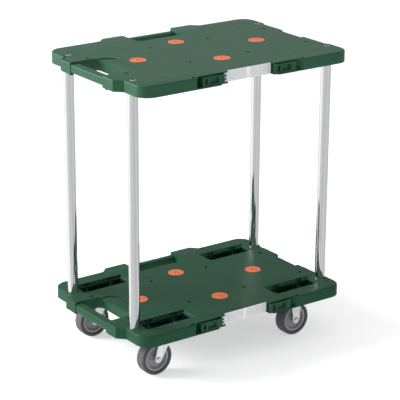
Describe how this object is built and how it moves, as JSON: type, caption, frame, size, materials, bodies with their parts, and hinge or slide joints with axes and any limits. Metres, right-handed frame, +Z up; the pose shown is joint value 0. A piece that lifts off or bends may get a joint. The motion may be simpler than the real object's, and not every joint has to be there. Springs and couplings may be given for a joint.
{
  "type": "two deck trolley",
  "caption": "Two-deck connectable trolley: moulded plastic decks on chromed tube posts, swivel casters at one end and rigid casters at the other.",
  "frame": {"origin": "on the floor, under the middle of the trolley's outer box", "axes": "+Z up, +X along the decks towards the rigid casters, +Y towards the back tongue, the latched long side faces -Y"},
  "size_m": [0.608, 0.428, 0.7253],
  "materials": {
    "deck_plastic": "fine-grained moulded polypropylene",
    "latch_plastic": "fine-grained moulded polypropylene",
    "pad_rubber": "soft matt elastomer",
    "post_chrome": "bright chromium plate",
    "zinc_steel": "bright zinc plate",
    "tyre_rubber": "grey solid rubber",
    "core_plastic": "moulded nylon"
  },
  "bodies": {
    "frame": {"lower_deck": "deck_plastic", "upper_deck": "deck_plastic", "well_cover_front_left": "deck_plastic", "post_front_left": "post_chrome", "top_bolt_front_left": "post_chrome", "foot_bolt_front_left": "post_chrome", "well_cover_front_right": "deck_plastic", "post_front_right": "post_chrome", "top_bolt_front_right": "post_chrome", "foot_bolt_front_right": "post_chrome", "well_cover_back_left": "deck_plastic", "post_back_left": "post_chrome", "top_bolt_back_left": "post_chrome", "foot_bolt_back_left": "post_chrome", "well_cover_back_right": "deck_plastic", "post_back_right": "post_chrome", "top_bolt_back_right": "post_chrome", "foot_bolt_back_right": "post_chrome", "pad_lower_left": "pad_rubber", "pad_lower_right": "pad_rubber", "pad_lower_front": "pad_rubber", "pad_lower_back": "pad_rubber", "latch_pin_lower_front_a": "zinc_steel", "latch_pin_lower_front_b": "zinc_steel", "latch_pin_lower_right_a": "zinc_steel", "latch_pin_lower_right_b": "zinc_steel", "pad_upper_left": "pad_rubber", "pad_upper_right": "pad_rubber", "pad_upper_front": "pad_rubber", "pad_upper_back": "pad_rubber", "latch_pin_upper_front_a": "zinc_steel", "latch_pin_upper_front_b": "zinc_steel", "latch_pin_upper_right_a": "zinc_steel", "latch_pin_upper_right_b": "zinc_steel", "swivel_plate_front_left": "zinc_steel", "rigid_bracket_front_right": "zinc_steel", "axle_bolt_front_right": "zinc_steel", "swivel_plate_back_left": "zinc_steel", "rigid_bracket_back_right": "zinc_steel", "axle_bolt_back_right": "zinc_steel"},
    "fork_body_front_left": {"fork_front_left": "zinc_steel", "axle_bolt_front_left": "zinc_steel"},
    "wheel_front_left": {"wheel_core_front_left": "core_plastic", "tyre_front_left": "tyre_rubber"},
    "wheel_front_right": {"wheel_core_front_right": "core_plastic", "tyre_front_right": "tyre_rubber"},
    "fork_body_back_left": {"fork_back_left": "zinc_steel", "axle_bolt_back_left": "zinc_steel"},
    "wheel_back_left": {"wheel_core_back_left": "core_plastic", "tyre_back_left": "tyre_rubber"},
    "wheel_back_right": {"wheel_core_back_right": "core_plastic", "tyre_back_right": "tyre_rubber"},
    "swing_latch_lower_front_a": {"latch_lower_front_a": "latch_plastic"},
    "swing_latch_lower_front_b": {"latch_lower_front_b": "latch_plastic"},
    "swing_latch_lower_right_a": {"latch_lower_right_a": "latch_plastic"},
    "swing_latch_lower_right_b": {"latch_lower_right_b": "latch_plastic"},
    "swing_latch_upper_front_a": {"latch_upper_front_a": "latch_plastic"},
    "swing_latch_upper_front_b": {"latch_upper_front_b": "latch_plastic"},
    "swing_latch_upper_right_a": {"latch_upper_right_a": "latch_plastic"},
    "swing_latch_upper_right_b": {"latch_upper_right_b": "latch_plastic"}
  },
  "joints": [
    {"name": "swivel_front_left", "type": "hinge", "parent": "frame", "child": "fork_body_front_left", "pos_m": [-0.1805, -0.1465, 0.09], "axis": [0, 0, 1], "continuous": true},
    {"name": "spin_front_left", "type": "hinge", "parent": "fork_body_front_left", "child": "wheel_front_left", "pos_m": [-0.2145, -0.1465, 0.0415], "axis": [0, 1, 0], "continuous": true},
    {"name": "spin_front_right", "type": "hinge", "parent": "frame", "child": "wheel_front_right", "pos_m": [0.1985, -0.1465, 0.0415], "axis": [0, 1, 0], "continuous": true},
    {"name": "swivel_back_left", "type": "hinge", "parent": "frame", "child": "fork_body_back_left", "pos_m": [-0.1805, 0.1285, 0.09], "axis": [0, 0, 1], "continuous": true},
    {"name": "spin_back_left", "type": "hinge", "parent": "fork_body_back_left", "child": "wheel_back_left", "pos_m": [-0.2145, 0.1285, 0.0415], "axis": [0, 1, 0], "continuous": true},
    {"name": "spin_back_right", "type": "hinge", "parent": "frame", "child": "wheel_back_right", "pos_m": [0.1985, 0.1285, 0.0415], "axis": [0, 1, 0], "continuous": true},
    {"name": "swing_latch_lower_front_a", "type": "hinge", "parent": "frame", "child": "swing_latch_lower_front_a", "pos_m": [-0.057, -0.2025, 0.115], "axis": [0, 0, 1], "range_deg": [0, 60]},
    {"name": "swing_latch_lower_front_b", "type": "hinge", "parent": "frame", "child": "swing_latch_lower_front_b", "pos_m": [0.138, -0.202, 0.115], "axis": [0, 0, 1], "range_deg": [0, 60]},
    {"name": "swing_latch_lower_right_a", "type": "hinge", "parent": "frame", "child": "swing_latch_lower_right_a", "pos_m": [0.2925, -0.055, 0.115], "axis": [0, 0, 1], "range_deg": [0, 60]},
    {"name": "swing_latch_lower_right_b", "type": "hinge", "parent": "frame", "child": "swing_latch_lower_right_b", "pos_m": [0.292, 0.1, 0.115], "axis": [0, 0, 1], "range_deg": [0, 60]},
    {"name": "swing_latch_upper_front_a", "type": "hinge", "parent": "frame", "child": "swing_latch_upper_front_a", "pos_m": [-0.057, -0.2025, 0.71], "axis": [0, 0, 1], "range_deg": [0, 60]},
    {"name": "swing_latch_upper_front_b", "type": "hinge", "parent": "frame", "child": "swing_latch_upper_front_b", "pos_m": [0.138, -0.202, 0.71], "axis": [0, 0, 1], "range_deg": [0, 60]},
    {"name": "swing_latch_upper_right_a", "type": "hinge", "parent": "frame", "child": "swing_latch_upper_right_a", "pos_m": [0.2925, -0.055, 0.71], "axis": [0, 0, 1], "range_deg": [0, 60]},
    {"name": "swing_latch_upper_right_b", "type": "hinge", "parent": "frame", "child": "swing_latch_upper_right_b", "pos_m": [0.292, 0.1, 0.71], "axis": [0, 0, 1], "range_deg": [0, 60]}
  ]
}
